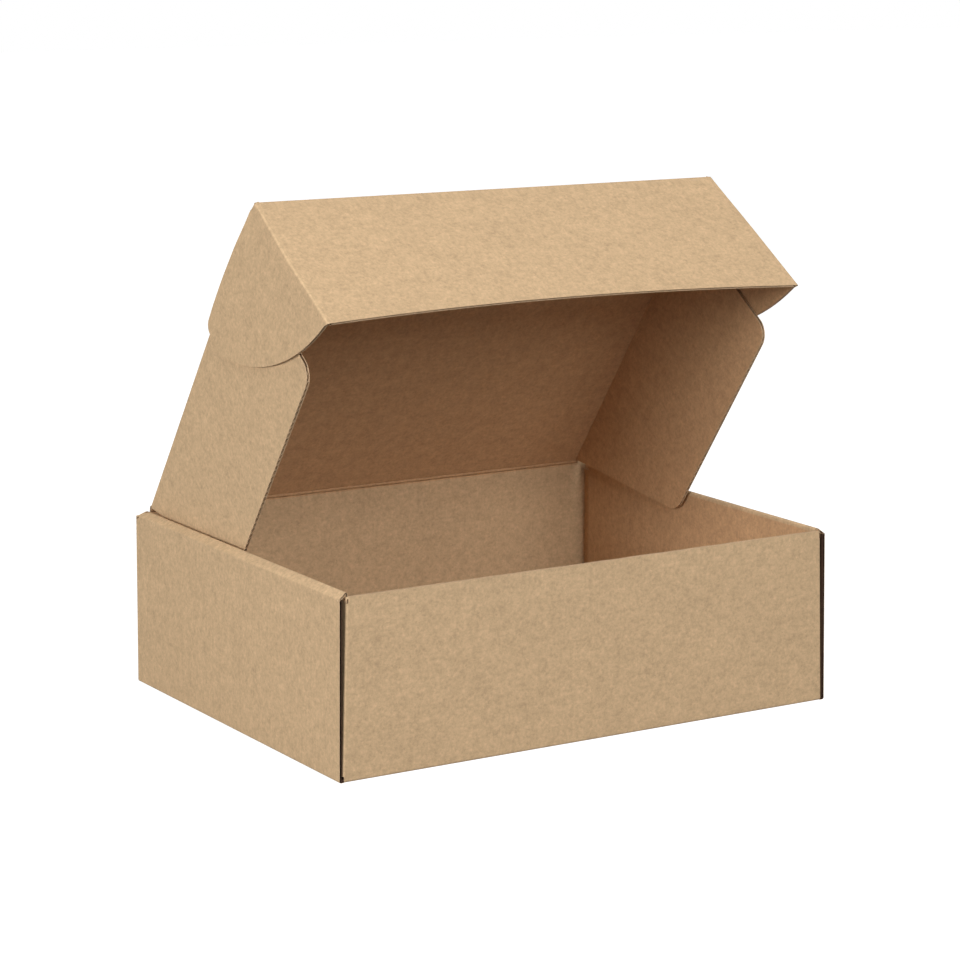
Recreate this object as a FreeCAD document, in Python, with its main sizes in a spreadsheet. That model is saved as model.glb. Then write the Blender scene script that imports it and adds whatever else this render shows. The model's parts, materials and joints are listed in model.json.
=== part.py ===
import FreeCAD, Part
import math
import os
import Sketcher

# A corrugated mailer box, folded from one die-cut sheet of thin corrugated board.
# +Z is up, +X runs along the long side, and the open front of the tray faces -Y.
# The origin is at the middle of the box's footprint, on the surface that it stands on.
# All lengths are in millimetres and all angles in degrees.

doc = FreeCAD.newDocument("mailer_box")
sheet = doc.addObject("Spreadsheet::Sheet", "Sizes")


class Size:
    """A length or angle: its number, and the sheet expression that gives it."""

    def __init__(self, value, text):
        self.value = float(value)
        self.text = text

    @staticmethod
    def of(other):
        return other if isinstance(other, Size) else Size(other, repr(float(other)))

    def __add__(self, other):
        other = Size.of(other)
        return Size(self.value + other.value, "(%s + %s)" % (self.text, other.text))

    def __sub__(self, other):
        other = Size.of(other)
        return Size(self.value - other.value, "(%s - %s)" % (self.text, other.text))

    def __rsub__(self, other):
        return Size.of(other) - self

    def __mul__(self, other):
        other = Size.of(other)
        return Size(self.value * other.value, "(%s * %s)" % (self.text, other.text))

    def __truediv__(self, other):
        other = Size.of(other)
        return Size(self.value / other.value, "(%s / %s)" % (self.text, other.text))

    def __neg__(self):
        return Size(-self.value, "(0 - %s)" % self.text)

    __radd__ = __add__
    __rmul__ = __mul__


def sin(angle):
    return Size(math.sin(math.radians(angle.value)), "sin(%s)" % angle.text)


def cos(angle):
    return Size(math.cos(math.radians(angle.value)), "cos(%s)" % angle.text)


def root(size):
    return Size(math.sqrt(size.value), "sqrt(%s)" % size.text)


cells = []


def size(name, value):
    """One driving dimension: a named cell that holds a plain number."""
    row = len(cells) + 1
    cells.append(name)
    sheet.set("A%d" % row, name)
    sheet.set("B%d" % row, str(value))
    sheet.setAlias("B%d" % row, name)
    return Size(value, "Sizes." + name)


# the sheet of board, and how it folds
board = size("board", 1.5)
fold_inside = size("fold_inside", 0.5)
crease_gap = size("crease_gap", 0.35)
# the tray
length = size("tray_length", 250)
depth = size("tray_depth", 192)
side_height = size("side_height", 77.5)
rollover_width = size("rollover_width", 5.5)
rollover_rise = size("rollover_rise", 3.5)
front_height = size("front_height", 78)
hinge_height = size("hinge_height", 80.4)
wall_end_inset = size("wall_end_inset", 2.2)
side_end_gap = size("side_end_gap", 0.2)
inner_front_gap = size("inner_front_gap", 0.4)
inner_rear_set = size("inner_rear_set", 5.5)
rollover_radius = size("rollover_radius", 1.1)
# the dust flaps that the front and rear walls send back inside the side walls
dust_flap_length = size("dust_flap_length", 72)
dust_flap_clear = size("dust_flap_clear", 0.6)
# the inner side panels stand on the floor, on tabs that lock in slots
floor_gap = size("floor_gap", 0.3)
tab_width = size("tab_width", 32)
tab_spacing = size("tab_spacing", 92)
tab_gap = size("tab_gap", 0.3)
# the lid: how far it is open above shut, and its reach from hinge to front crease
lid_angle = size("lid_angle", 54)
lid_reach = size("lid_reach", 184)
# running clearances between the layers that slide into the tray at each side
ear_wall_gap = size("ear_wall_gap", 0.4)
ear_wing_gap = size("ear_wing_gap", 0.3)
# the tuck flap at the lid's front, which leans a little out of square
tuck_length = size("tuck_length", 78.5)
tuck_lean = size("tuck_lean", 2.8)
tuck_arch = size("tuck_arch", 4.5)
# the wings at the lid's sides
wing_length = size("wing_length", 77)
wing_front_set = size("wing_front_set", 25.2)
wing_rear_top = size("wing_rear_top", 1.6)
wing_rear_low = size("wing_rear_low", 43)
wing_corner = size("wing_corner", 8)
# the ears at the tuck flap's ends, folded back outside the wings
ear_depth = size("ear_depth", 72.5)
ear_rise = size("ear_rise", 1.6)
ear_heel = size("ear_heel", 16.5)
ear_corner = size("ear_corner", 5)
ear_sweep = size("ear_sweep", 120)

doc.recompute()

# places that several pieces share
half_length = length / 2
half_depth = depth / 2
fold_outside = fold_inside + board
rollover_top = side_height + rollover_rise
inner_face = half_length - rollover_width
outer_face_of_inner = inner_face + board
slope = rollover_rise / rollover_width
strip_drop = board * root(slope * slope + 1)
wall_end = half_length - wall_end_inset
hinge_y = half_depth - board / 2
ear_outside = inner_face - ear_wall_gap
ear_inside = ear_outside - board
wing_outside = ear_inside - ear_wing_gap
wing_inside = wing_outside - board
lid_half = wing_outside
zero = Size(0, "0")


def bind(item, path, value):
    item.setExpression(path, value.text)


def new_body(name):
    body = doc.addObject("PartDesign::Body", name)
    body.Label = name
    return body


def plane(body, role):
    return [f for f in body.Origin.OriginFeatures if f.Role == role][0]


def new_sketch(body, name, role, offset=None):
    sketch = body.newObject("Sketcher::SketchObject", name)
    sketch.AttachmentSupport = [(plane(body, role), "")]
    sketch.MapMode = "FlatFace"
    if offset is not None:
        sketch.AttachmentOffset = FreeCAD.Placement(
            FreeCAD.Vector(0, 0, offset.value), FreeCAD.Rotation())
        bind(sketch, "AttachmentOffset.Base.z", offset)
    return sketch


def vec(p):
    return FreeCAD.Vector(Size.of(p[0]).value, Size.of(p[1]).value, 0)


def arc_from(p, q, radius, turn):
    """The short arc from p to q: turn is 1 when it runs anticlockwise."""
    a, b = vec(p), vec(q)
    half = (b - a) / 2
    reach = math.sqrt(max(radius ** 2 - half.Length ** 2, 0))
    across = FreeCAD.Vector(-half.y, half.x, 0).normalize() * (reach * turn)
    centre = a + half + across
    first, last = (a, b) if turn > 0 else (b, a)
    start = math.atan2(first.y - centre.y, first.x - centre.x)
    end = math.atan2(last.y - centre.y, last.x - centre.x)
    circle = Part.Circle(centre, FreeCAD.Vector(0, 0, 1), radius)
    return Part.ArcOfCircle(circle, start, end if end > start else end + 2 * math.pi)


def add_loop(sketch, points):
    """Closes a loop through points (x, y) or (x, y, radius, turn), where the last two
    make the edge to the next point an arc. Each corner is placed from the sketch's
    origin by the sheet's own values."""
    count = len(points)
    first = sketch.GeometryCount
    ends = []
    for i, p in enumerate(points):
        q = points[(i + 1) % count]
        if len(p) == 4:
            sketch.addGeometry(arc_from(p, q, p[2].value, p[3]))
            ends.append((1, 2) if p[3] > 0 else (2, 1))
        else:
            sketch.addGeometry(Part.LineSegment(vec(p), vec(q)))
            ends.append((1, 2))
    for i, p in enumerate(points):
        after = (i + 1) % count
        sketch.addConstraint(Sketcher.Constraint(
            "Coincident", first + i, ends[i][1], first + after, ends[after][0]))
    for i, p in enumerate(points):
        for kind, value in (("DistanceX", p[0]), ("DistanceY", p[1])):
            value = Size.of(value)
            if abs(value.value) < 1e-9:
                axis = -2 if kind == "DistanceX" else -1
                sketch.addConstraint(Sketcher.Constraint(
                    "PointOnObject", first + i, ends[i][0], axis))
                continue
            number = sketch.addConstraint(Sketcher.Constraint(
                kind, -1, 1, first + i, ends[i][0], value.value))
            bind(sketch, "Constraints[%d]" % number, value)
        if len(p) == 4:
            number = sketch.addConstraint(Sketcher.Constraint(
                "Radius", first + i, p[2].value))
            bind(sketch, "Constraints[%d]" % number, p[2])


def add_rectangle(sketch, x0, y0, x1, y1):
    add_loop(sketch, [(x0, y0), (x1, y0), (x1, y1), (x0, y1)])


def pad(body, sketch, name, reach, symmetric=False, reverse=False):
    feature = body.newObject("PartDesign::Pad", name)
    feature.Profile = sketch
    feature.Refine = True
    if symmetric:
        feature.SideType = "Symmetric"
    feature.Reversed = reverse
    bind(feature, "Length", reach)
    doc.recompute()
    return feature


def pocket(body, sketch, name, reach):
    """Cuts upwards from a sketch that lies level, and makes sure that it cut."""
    before = body.Shape.Volume
    feature = body.newObject("PartDesign::Pocket", name)
    feature.Profile = sketch
    feature.Reversed = True
    bind(feature, "Length", reach)
    doc.recompute()
    if not body.Shape.Volume < before - 1e-6:
        raise RuntimeError(name + " cuts nothing")
    return feature


def round_edges(body, name, radius, test, along="x"):
    """Rounds each straight edge of the body so far that runs along one axis and whose
    two ends pass the test."""
    base = body.Tip
    names = []
    for i, edge in enumerate(base.Shape.Edges):
        ends = [v.Point for v in edge.Vertexes]
        if len(ends) != 2 or not all(test(p) for p in ends):
            continue
        run = ends[1] - ends[0]
        if abs(abs(getattr(run, along)) - run.Length) < 1e-6:
            names.append("Edge%d" % (i + 1))
    if not names:
        raise RuntimeError(name + " finds no edge")
    feature = body.newObject("PartDesign::Fillet", name)
    feature.Base = (base, names)
    bind(feature, "Radius", radius)
    doc.recompute()
    return feature


def near(a, b, slack=0.02):
    return abs(a - Size.of(b).value) < slack


# The tray's floor, its two side walls, their rolled-over tops and the inner side panels
# are one bent section that runs from front to rear.
tray = new_body("tray")
section = new_sketch(tray, "side_section", "XZ_Plane")
left_half = [
    (fold_outside - half_length, zero, fold_outside, -1),
    (-half_length, fold_outside),
    (-half_length, side_height),
    (-inner_face, rollover_top),
    (-inner_face, board + floor_gap),
    (-outer_face_of_inner, board + floor_gap),
    (-outer_face_of_inner,
     side_height + (half_length - outer_face_of_inner) * slope - strip_drop),
    (board - half_length, side_height + board * slope - strip_drop),
    (board - half_length, board + fold_inside, fold_inside, 1),
    (board + fold_inside - half_length, board),
]
right_half = []
for i in reversed(range(len(left_half))):
    x, z = left_half[i][0], left_half[i][1]
    before = left_half[i - 1] if i else None
    if before is not None and len(before) == 4:
        right_half.append((-x, z, before[2], before[3]))
    else:
        right_half.append((-x, z))
add_loop(section, left_half + right_half)
pad(tray, section, "floor_and_sides", depth - side_end_gap * 2, symmetric=True)
round_edges(tray, "rollover_folds", rollover_radius, lambda p: (
    near(abs(p.x), half_length) and near(p.z, side_height)) or (
    near(abs(p.x), inner_face) and near(p.z, rollover_top)), along="y")

# The inner panels and the rolled-over strips stop short of the front and rear walls.
# The strip's ends run at a slant from the outer crease to the inner one.
inner_front = half_depth - board - inner_front_gap
inner_rear = half_depth - inner_rear_set
beyond = half_depth + 5
ends = new_sketch(tray, "inner_panel_ends", "XY_Plane", board)
for side in (-1, 1):
    outer = (half_length - board) * side
    inner = (inner_face - 1) * side
    for x0, x1, y0, y1 in (
            (outer, inner, -beyond, -inner_front), (outer, inner, inner_rear, beyond)):
        if side < 0:
            add_rectangle(ends, x0, y0, x1, y1)
        else:
            add_rectangle(ends, x1, y0, x0, y1)
pocket(tray, ends, "inner_panel_end_cuts", rollover_top + 5)

# The floor's front and rear edges make way for the folds of the two end walls.
edge = new_sketch(tray, "floor_ends", "XY_Plane", -board)
add_rectangle(edge, -wall_end, -beyond, wall_end, fold_outside - half_depth)
add_rectangle(edge, -wall_end, half_depth - fold_outside, wall_end, beyond)
pocket(tray, edge, "floor_end_cuts", board * 2)

# The front wall and the rear wall, each bent up from the floor.
hinge_clear = board / 2 + crease_gap
rear_height = hinge_height - hinge_clear
walls = new_sketch(tray, "end_section", "YZ_Plane")
add_loop(walls, [
    (fold_outside - half_depth, zero, fold_outside, -1),
    (-half_depth, fold_outside),
    (-half_depth, front_height),
    (board - half_depth, front_height),
    (board - half_depth, board + fold_inside, fold_inside, 1),
    (board + fold_inside - half_depth, board),
    (half_depth - board - fold_inside, board, fold_inside, 1),
    (half_depth - board, board + fold_inside),
    (half_depth - board, rear_height),
    (half_depth, rear_height),
    (half_depth, fold_outside, fold_outside, -1),
    (half_depth - fold_outside, zero),
])
pad(tray, walls, "front_and_rear_walls", wall_end * 2, symmetric=True)

# Each end of the two walls is folded back inside the side wall, as a dust flap.
dust_low = board + fold_inside + dust_flap_clear
dust_high = side_height + board * slope - strip_drop - dust_flap_clear
flaps = new_sketch(tray, "dust_flap_plan", "XY_Plane", dust_low)
for side in (-1, 1):
    for end in (-1, 1):
        x0, x1 = wall_end * side, (wall_end - board) * side
        y0, y1 = half_depth * end, (half_depth - dust_flap_length) * end
        corners = [(x0, y0), (x1, y0), (x1, y1), (x0, y1)]
        add_loop(flaps, corners if side * end < 0 else corners[::-1])
pad(tray, flaps, "dust_flaps", dust_high - dust_low)

# The folds between the end walls and their dust flaps are round.
corner = new_sketch(tray, "fold_corners", "XY_Plane", dust_low)
over = 0.4
for side in (-1, 1):
    for end in (-1, 1):
        x_in, x_out = (wall_end - fold_outside) * side, wall_end * side
        x_far = (wall_end + over) * side
        y_in, y_out = (half_depth - fold_outside) * end, half_depth * end
        y_far = (half_depth + over) * end
        turn = side * end
        add_loop(corner, [
            (x_far, y_in), (x_out, y_in, fold_outside, turn), (x_in, y_out),
            (x_in, y_far), (x_far, y_far)])
pocket(tray, corner, "fold_corner_cuts", hinge_height + 10)

# Slots in the floor, and the tabs of the inner panels that stand in them.
slots = new_sketch(tray, "lock_slots", "XY_Plane", -board)
tabs = new_sketch(tray, "lock_tabs", "XY_Plane", floor_gap)
for side in (-1, 1):
    for end in (-1, 1):
        middle = tab_spacing / 2 * end
        for sketch, gap in ((slots, tab_gap), (tabs, zero)):
            low, high = inner_face - gap, outer_face_of_inner + gap
            if side < 0:
                low, high = -high, -low
            add_rectangle(sketch, low, middle - tab_width / 2 - gap,
                          high, middle + tab_width / 2 + gap)
pocket(tray, slots, "lock_slot_cuts", board * 2)
pad(tray, tabs, "locking_tabs", board + floor_gap)

# The lid and its flaps are drawn shut, with the hinge's axis as their origin, and then
# turned open about it.


def open_lid(body):
    body.Placement = FreeCAD.Placement(
        FreeCAD.Vector(0, hinge_y.value, hinge_height.value),
        FreeCAD.Rotation(FreeCAD.Vector(-1, 0, 0), lid_angle.value))
    bind(body, "Placement.Base.y", hinge_y)
    bind(body, "Placement.Base.z", hinge_height)
    bind(body, "Placement.Rotation.Angle", lid_angle * Size(1, "1deg"))


round_end = board * 0.49
lid_end = lid_reach - board / 2 - crease_gap
lid_panel = new_body("lid_panel")
section = new_sketch(lid_panel, "lid_section", "YZ_Plane")
add_rectangle(section, -lid_end, -board / 2, board / 2, board / 2)
pad(lid_panel, section, "panel", lid_half * 2, symmetric=True)
round_edges(lid_panel, "hinge_round", round_end, lambda p: near(p.y, board / 2))
round_edges(lid_panel, "front_crease_round", board / 3, lambda p: (
    near(p.y, -lid_end) and near(p.z, -board / 2)))
open_lid(lid_panel)

# The wings hang inside the ears and swing inwards, under the lid.
wing_top = board / 2 + crease_gap
wing_front = lid_reach - wing_front_set
for side, name in ((-1, "left_wing"), (1, "right_wing")):
    wing = new_body(name)
    outline = new_sketch(
        wing, name + "_outline", "YZ_Plane", -wing_outside if side < 0 else wing_inside)
    add_loop(outline, [
        (-wing_rear_top, -wing_top), (-wing_rear_low, -wing_length),
        (-wing_front, -wing_length), (-wing_front, -wing_top)])
    pad(wing, outline, name + "_panel", board)
    round_edges(wing, name + "_corners", wing_corner,
                lambda p: near(p.z, -wing_length))
    open_lid(wing)

# The ears are folded back from the tuck flap's ends and lie outside the wings. Their
# front edges follow the tuck flap's outer face.
ear_front = lid_reach + board / 2
ear_foot = tuck_length * cos(tuck_lean)
ear_rear = ear_front - ear_depth
for side, name in ((-1, "left_ear"), (1, "right_ear")):
    ear = new_body(name)
    outline = new_sketch(
        ear, name + "_outline", "YZ_Plane", -ear_outside if side < 0 else ear_inside)
    add_loop(outline, [
        (-ear_front, board / 2),
        (-(ear_front + tuck_length * sin(tuck_lean)), board - ear_foot, ear_sweep, 1),
        (-ear_rear, -ear_heel), (-ear_rear, board / 2 + ear_rise)])
    pad(ear, outline, name + "_panel", board)
    round_edges(ear, name + "_corners", ear_corner, lambda p: near(p.y, -ear_rear))
    open_lid(ear)

# The tuck flap hangs from the lid's front crease. Its free edge is a shallow arch.
tuck_flap = new_body("tuck_flap")
arch_radius = (lid_half * lid_half + tuck_arch * tuck_arch) / (tuck_arch * 2)
outline = new_sketch(tuck_flap, "tuck_outline", "XZ_Plane")
add_loop(outline, [
    (-lid_half, board / 2), (lid_half, board / 2), (lid_half, -tuck_length, arch_radius, 1),
    (-lid_half, -tuck_length)])
pad(tuck_flap, outline, "tuck_panel", board, symmetric=True)
round_edges(tuck_flap, "crease_round", round_end, lambda p: near(p.z, board / 2))
tuck_y = hinge_y - lid_reach * cos(lid_angle)
tuck_z = hinge_height + lid_reach * sin(lid_angle)
tuck_turn = lid_angle + tuck_lean
tuck_flap.Placement = FreeCAD.Placement(
    FreeCAD.Vector(0, tuck_y.value, tuck_z.value),
    FreeCAD.Rotation(FreeCAD.Vector(-1, 0, 0), tuck_turn.value))
bind(tuck_flap, "Placement.Base.y", tuck_y)
bind(tuck_flap, "Placement.Base.z", tuck_z)
bind(tuck_flap, "Placement.Rotation.Angle", tuck_turn * Size(1, "1deg"))

doc.recompute()
os.makedirs("parts", exist_ok=True)
bodies = [item for item in doc.Objects if item.TypeId == "PartDesign::Body"]
for item in doc.Objects:
    if "Invalid" in item.State or "Error" in item.State:
        raise RuntimeError("%s failed: %s" % (item.Name, item.State))
for body in bodies:
    if body.Shape.isNull() or not body.Shape.isValid() or len(body.Shape.Solids) != 1:
        raise RuntimeError(body.Label + " is not one valid solid")
for body in bodies:
    body.Shape.exportStep("parts/%s.step" % body.Label)
    print(body.Label, round(body.Shape.Volume, 1))
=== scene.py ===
import json
import math
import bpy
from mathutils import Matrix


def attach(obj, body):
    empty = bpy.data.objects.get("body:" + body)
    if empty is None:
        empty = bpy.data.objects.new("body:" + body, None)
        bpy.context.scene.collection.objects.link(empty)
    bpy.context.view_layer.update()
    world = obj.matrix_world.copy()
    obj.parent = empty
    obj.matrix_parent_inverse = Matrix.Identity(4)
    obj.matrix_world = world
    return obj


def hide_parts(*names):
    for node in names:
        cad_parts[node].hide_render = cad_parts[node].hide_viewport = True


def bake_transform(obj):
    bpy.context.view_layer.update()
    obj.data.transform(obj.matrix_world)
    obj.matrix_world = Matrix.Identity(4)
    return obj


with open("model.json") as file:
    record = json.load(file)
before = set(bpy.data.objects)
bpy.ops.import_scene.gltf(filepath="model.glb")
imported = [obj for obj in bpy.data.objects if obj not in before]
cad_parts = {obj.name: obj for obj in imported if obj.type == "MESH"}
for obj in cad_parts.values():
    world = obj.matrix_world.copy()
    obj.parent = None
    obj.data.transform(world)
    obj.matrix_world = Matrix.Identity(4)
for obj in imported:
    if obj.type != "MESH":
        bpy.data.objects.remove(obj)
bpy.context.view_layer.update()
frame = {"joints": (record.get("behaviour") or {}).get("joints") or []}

from types import SimpleNamespace

import bmesh
import bpy
from bpy.props import FloatProperty, FloatVectorProperty, PointerProperty
from mathutils import Vector

bl_info = {
    "name": "Corrugated mailer box",
    "version": (1, 0, 0),
    "blender": (4, 5, 0),
    "location": "View3D > Sidebar > Mailer box",
    "description": "A die-cut mailer box of kraft corrugated board, standing open",
    "category": "Mesh",
}

MM = 0.001
# The corner gap finish is painted shade: near-black kraft for what stands deep in the front
# corners' gaps.
FINISHES = "Kraft board", "Cut board edge", "Kraft board inside, painted shade", "Painted shade in corner gap"
# The inside finish is painted shade: a darker, redder copy of the kraft for faces inside the
# box.
OUTER, CUT, INNER_SHADE, GAP_SHADE = range(4)
CUT_SLOTS = CUT, GAP_SHADE


def hinge_of(name):
    """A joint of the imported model, by name."""
    return [j for j in frame["joints"] if j["name"] == name][0]


def deg(angle):
    return math.radians(angle)


def in_mm(group):
    """A property group's values, with its lengths in millimetres."""
    values = {}
    for name in type(group).__annotations__:
        value = getattr(group, name)
        is_length = group.bl_rna.properties[name].unit == "LENGTH"
        values[name] = value / MM if is_length else value
    return SimpleNamespace(**values)


def length_prop(name, about, value):
    return FloatProperty(name=name, description=about, default=value, unit="LENGTH")


def colour_prop(name, about, value):
    return FloatVectorProperty(name=name, description=about, default=value, size=3,
                               subtype="COLOR", min=0, max=1)


class BoardSizes(bpy.types.PropertyGroup):
    thickness: length_prop("Board thickness", "Thickness of the corrugated board", 0.0015)
    fold: length_prop("Fold radius", "Radius outside a fold", 0.001)
    press: length_prop("Pressed width", "How far the board is pressed on each side of a fold",
                       0.0009)
    pressed: FloatProperty(
        name="Pressed thickness", description="Share of the thickness left in a fold",
        default=0.63, min=0.2, max=1)
    flute_pitch: length_prop("Flute pitch", "Distance from one flute to the next", 0.0032)
    liner: length_prop("Liner thickness", "Thickness of each liner at a cut edge", 0.00026)
    recess: length_prop("Cut edge depth", "How deep the hollows show at a cut edge", 0.0014)
    mesh_step: length_prop("Mesh step", "Longest side of a face on a flat panel", 0.006)


class TraySizes(bpy.types.PropertyGroup):
    length: length_prop("Length", "Outer length of the tray", 0.25)
    depth: length_prop("Depth", "Outer depth of the tray", 0.192)
    crease_front: length_prop("Outer crease, front", "Height of a side's outer crease", 0.0768)
    crease_rear: length_prop("Outer crease, rear", "Height of a side's outer crease", 0.0783)
    inner_front: length_prop("Inner crease, front", "Height of a side's inner crease", 0.0803)
    inner_rear: length_prop("Inner crease, rear", "Height of a side's inner crease", 0.0812)
    front_height: length_prop("Front height", "Height of the front wall", 0.078)
    rollover: length_prop("Roll-over width", "How far in the inner crease stands", 0.0055)
    lean_left: length_prop("Left lean", "How far the left side leans in at its top", 0.0008)
    lean_right: length_prop("Right lean", "How far the right side leans in at its top", 0.0015)
    end_low: length_prop("Front wall end, foot", "Half length of the front wall, low", 0.1234)
    end_high: length_prop("Front wall end, top", "Half length of the front wall, high", 0.1209)
    dust_flap: length_prop("Dust flap length", "Length of the flaps in the side walls", 0.072)


class LidSizes(bpy.types.PropertyGroup):
    opening: FloatProperty(
        name="Opening", description="How far the lid stands open above shut",
        default=deg(54), subtype="ANGLE")
    reach: length_prop("Lid reach", "From the rear hinge to the front crease", 0.184)
    half_width: length_prop("Lid half width", "Half the width across the wings", 0.1173)
    tuck_length: length_prop("Tuck flap length", "From the crease to the free edge", 0.0785)
    tuck_lean: FloatProperty(
        name="Tuck flap lean", description="How far the tuck flap leans out of square",
        default=deg(2.8), subtype="ANGLE")
    tuck_arch: length_prop("Tuck flap arch", "Rise of the free edge at its middle", 0.0045)
    wing_length: length_prop("Wing length", "From the lid to a wing's free edge", 0.077)
    wing_front: length_prop("Wing front", "A wing's front edge, from the hinge", 0.1588)
    wing_rear: length_prop("Wing rear", "A wing's low rear corner, from the hinge", 0.043)
    wing_top: length_prop("Wing start", "Where a wing starts, from the hinge", 0.0016)
    wing_corner: length_prop("Wing corner", "Radius of a wing's corners", 0.008)
    ear_depth: length_prop("Ear depth", "How far back an ear reaches", 0.0725)
    ear_rise: length_prop("Ear rise", "How far an ear stands above the lid", 0.0016)
    ear_heel: length_prop("Ear heel", "Where an ear's curved edge starts", 0.0165)
    ear_sweep: length_prop("Ear sweep", "Radius of an ear's curved edge", 0.12)
    corner_left: length_prop("Left corner", "How far the left ear's corner sits in", 0.0015)
    corner_right: length_prop("Right corner", "How far the right ear's corner sits in", 0.0006)


class KraftFinish(bpy.types.PropertyGroup):
    paper: colour_prop("Outer paper", "Colour of the outer liner", (0.575, 0.400, 0.233))
    # Painted shade: a darker, redder copy of the outer paper for faces inside the box; the lit
    # rear wall's inside keeps the outer paper.
    inside: colour_prop("Inner paper, painted shade", "Darker copy of the kraft that paints shade on inside faces", (0.560, 0.342, 0.182))
    fibre_dark: colour_prop("Dark fibres", "Colour of the darkest fibres",
                            (0.27, 0.155, 0.075))
    cut: colour_prop("Cut liner", "Colour of a cut liner edge", (0.64, 0.455, 0.28))
    # Painted shade: the dark band between the liners at a cut edge stands for the shade inside
    # the flutes' channels.
    hollow_shade: colour_prop("Hollow shade", "Painted shade in the hollows of the flutes", (0.13, 0.07, 0.035))
    # Painted shade: a near-black kraft for the edges and inner faces deep in the front corners'
    # gaps, where shade falls.
    gap: colour_prop("Painted shade in corner gap", "Painted shade for the edges deep in the front corners' gaps",
                     (0.05, 0.024, 0.014))
    roughness: FloatProperty(
        name="Roughness", description="Roughness of the paper", default=0.86, min=0, max=1)


class StageSettings(bpy.types.PropertyGroup):
    backdrop: FloatProperty(
        name="Backdrop", description="Brightness of the white ground", default=0.95, min=0)
    floor: colour_prop("Floor", "Colour of the floor", (0.25, 0.25, 0.25))
    floor_half: length_prop("Floor half width", "Half the width of the floor", 6.0)
    ambient: FloatProperty(
        name="Ambient", description="Strength of the room's own light", default=0.03, min=0)


def share_of(value):
    """The value held between 0 and 1."""
    return min(max(value, 0), 1)


def eased(share):
    return share * share * (3 - 2 * share)


def span(start, end, step):
    """Even steps from start to end, none longer than step."""
    count = max(1, math.ceil(abs(end - start) / step - 1e-6))
    return [start + (end - start) * i / count for i in range(count + 1)]


def spans(stops, step):
    """Even steps between each two stops, with every stop kept."""
    out = [stops[0]]
    for a, b in zip(stops, stops[1:]):
        out += span(a, b, step)[1:]
    return out


def fold_path(corners, counts, radius, press, pressed, bend_steps=6):
    """The outer face of a board that is folded at each inner corner, in its own plane.
    Gives (place, way out, share of thickness, length from the start) for each point, with
    the outer side on the left and each fold to the right. counts has the number of faces
    on each flat run."""
    corners = [Vector(c) for c in corners]
    runs = [(b - a).normalized() for a, b in zip(corners, corners[1:])]
    trims = [0.0]
    for a, b in zip(runs, runs[1:]):
        trims.append(radius * math.tan(a.angle(b) / 2))
    trims.append(0.0)
    out = []
    length = 0.0

    def add(place, look, share):
        nonlocal length
        if out:
            length += (place - out[-1][0]).length
        out.append((place, look, share, length))

    for i, run in enumerate(runs):
        look = Vector((-run.y, run.x))
        start = corners[i] + run * trims[i]
        reach = (corners[i + 1] - run * trims[i + 1] - start).length
        first = press if i > 0 else 0.0
        last = press if i < len(runs) - 1 else 0.0
        if first + last > reach * 0.8:
            first, last = reach * 0.3 * (i > 0), reach * 0.3 * (i < len(runs) - 1)
        stops = [first + (reach - first - last) * k / counts[i] for k in range(counts[i] + 1)]
        if i > 0:
            stops = [0.0] + stops
        if last:
            stops.append(reach)
        for k, at in enumerate(stops):
            at_fold = (i > 0 and k == 0) or (last and k == len(stops) - 1)
            if not (i > 0 and k == 0):
                add(start + run * at, look, pressed if at_fold else 1.0)
        if i < len(runs) - 1:
            turn = run.angle(runs[i + 1])
            centre = start + run * reach - look * radius
            for k in range(1, bend_steps + 1):
                angle = -turn * k / bend_steps
                swung = Vector((look.x * math.cos(angle) - look.y * math.sin(angle),
                                look.x * math.sin(angle) + look.y * math.cos(angle)))
                add(centre + swung * radius, swung, pressed)
    return out


# Millimetres that the flutes' ends stand behind a cut, share of the thickness that they
# stay clear of each liner, and the least slant across the flutes that shows them
FLUTE_INSET, FLUTE_CLEAR, FLUTE_SLANT = 0.12, 0.05, 0.4


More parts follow.
